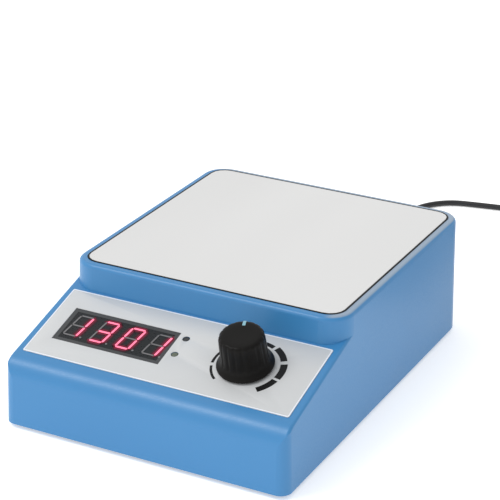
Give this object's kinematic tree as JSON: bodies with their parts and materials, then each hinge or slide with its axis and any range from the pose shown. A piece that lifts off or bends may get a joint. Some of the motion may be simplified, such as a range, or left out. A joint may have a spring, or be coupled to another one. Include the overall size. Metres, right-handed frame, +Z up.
{
  "type": "magnetic stirrer",
  "caption": "Compact magnetic stirrer: a box with a flat top plate, a sloping panel with a digital speed display and a fluted speed knob, and a plug-in adapter on a thin lead.",
  "frame": {"origin": "middle of the housing's footprint, on the surface that the feet stand on", "axes": "+Y runs along the longest side, from the control panel in front to the jack behind, +Z is up out of the top plate, and +X is to the right of the person who faces the panel"},
  "size_m": [0.2145, 0.3369, 0.0571],
  "materials": {
    "housing_blue": "semi-gloss",
    "cover_grey": "matt",
    "plate_steel": "polished stainless",
    "black_rubber": "matt",
    "label_silver": "satin film",
    "display_black": "smooth",
    "board_green": "satin",
    "black_plastic": "satin",
    "pointer_white": "matt",
    "lamp_lens": "smooth",
    "plated_steel": "bright",
    "motor_steel": "satin",
    "magnet_black": "dull",
    "magnet_nickel": "bright",
    "bronze": "satin",
    "aluminium_sheet": "satin",
    "carrier_white": "matt",
    "wire_skin": "satin",
    "cord_black": "satin",
    "capacitor_sleeve": "smooth",
    "header_white": "matt"
  },
  "bodies": {
    "housing": {"housing_shell": "housing_blue", "bottom_cover": "cover_grey", "cover_screws": "plated_steel", "rubber_feet": "black_rubber", "plate_gasket": "black_rubber", "top_plate": "plate_steel", "panel_label": "label_silver", "display_module": "display_black", "display_board": "board_green", "display_board_screws": "plated_steel", "indicator_lamps": "lamp_lens", "pot_case": "plated_steel", "pot_washer": "plated_steel", "pot_nut": "plated_steel", "pot_lugs": "bronze", "motor_can": "motor_steel", "motor_end_cap": "black_plastic", "motor_bearings": "bronze", "motor_field_magnets": "magnet_black", "motor_brushes": "bronze", "motor_tabs": "bronze", "motor_bracket": "aluminium_sheet", "motor_screws": "plated_steel", "bracket_screws": "plated_steel", "speed_sensor": "board_green", "driver_board": "board_green", "driver_board_screws": "plated_steel", "driver_capacitors": "capacitor_sleeve", "driver_chips": "black_plastic", "heat_sink": "aluminium_sheet", "power_transistor": "black_plastic", "wire_headers": "header_white", "dc_jack": "black_plastic", "jack_contacts": "bronze", "jack_nut": "plated_steel", "motor_leads": "wire_skin", "jack_leads": "wire_skin", "sensor_leads": "wire_skin", "pot_leads": "wire_skin", "display_leads": "wire_skin", "dc_plug_body": "black_plastic", "dc_plug_barrel": "plated_steel", "adapter_lead": "cord_black", "adapter_tail": "cord_black", "lead_coil": "cord_black", "coil_tie": "black_plastic", "adapter_case": "black_plastic", "adapter_lid": "black_plastic", "adapter_board": "board_green", "adapter_blades": "bronze", "adapter_boot": "cord_black"},
    "knob": {"pot_shaft": "plated_steel", "pot_wiper": "black_plastic", "speed_knob": "black_plastic", "knob_pointer": "pointer_white"},
    "rotor": {"motor_shaft": "plated_steel", "motor_armature": "motor_steel", "magnet_carrier": "carrier_white", "drive_magnets": "magnet_nickel", "carrier_set_screw": "plated_steel"}
  },
  "joints": [
    {"name": "knob_turn", "type": "hinge", "parent": "housing", "child": "knob", "pos_m": [0.0323, -0.06547, 0.04792], "axis": [0, -0.2723, 0.9622], "range_deg": [-162, 138]},
    {"name": "rotor_spin", "type": "hinge", "parent": "housing", "child": "rotor", "pos_m": [0, 0.02543, 0.04], "axis": [0, 0, 1], "continuous": true}
  ]
}
